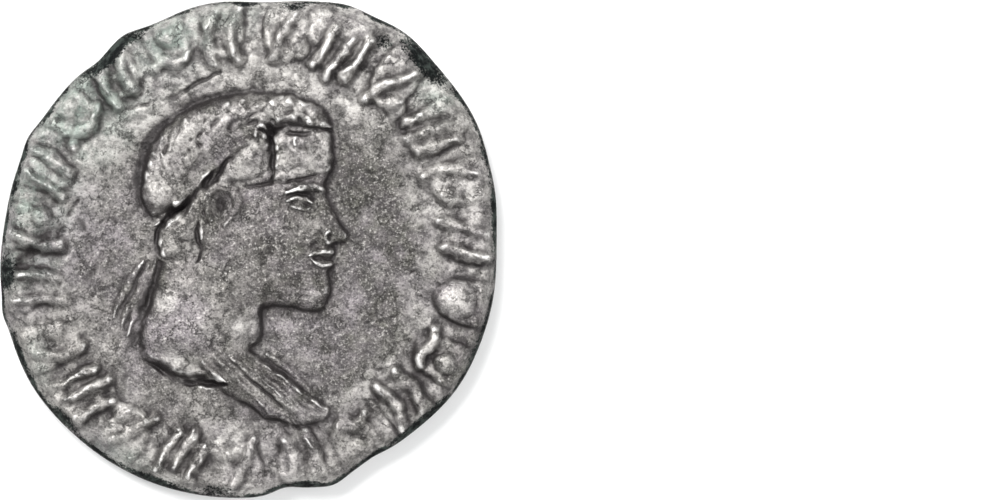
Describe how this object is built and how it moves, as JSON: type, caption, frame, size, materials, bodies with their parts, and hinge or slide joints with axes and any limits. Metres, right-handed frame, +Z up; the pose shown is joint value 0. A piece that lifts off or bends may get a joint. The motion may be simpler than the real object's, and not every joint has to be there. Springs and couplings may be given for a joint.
{
  "type": "ancient silver coin",
  "caption": "Hand-struck silver coin with an irregular hammered edge, a raised profile head on one side and a worn seated figure on the other; lies flat as loose money.",
  "frame": {"origin": "middle of the coin's bounding box at the level of its worn underside, on which it lies", "axes": "+Z up out of the portrait side, +Y towards the top of the portrait's head, +X the way the portrait looks"},
  "size_m": [0.0162, 0.0162, 0.0018],
  "materials": {
    "silver": "worn, granular old silver with dark toning in the hollows and a green and black crust near the edge"
  },
  "bodies": {
    "root": {"coin": "silver"}
  },
  "joints": []
}
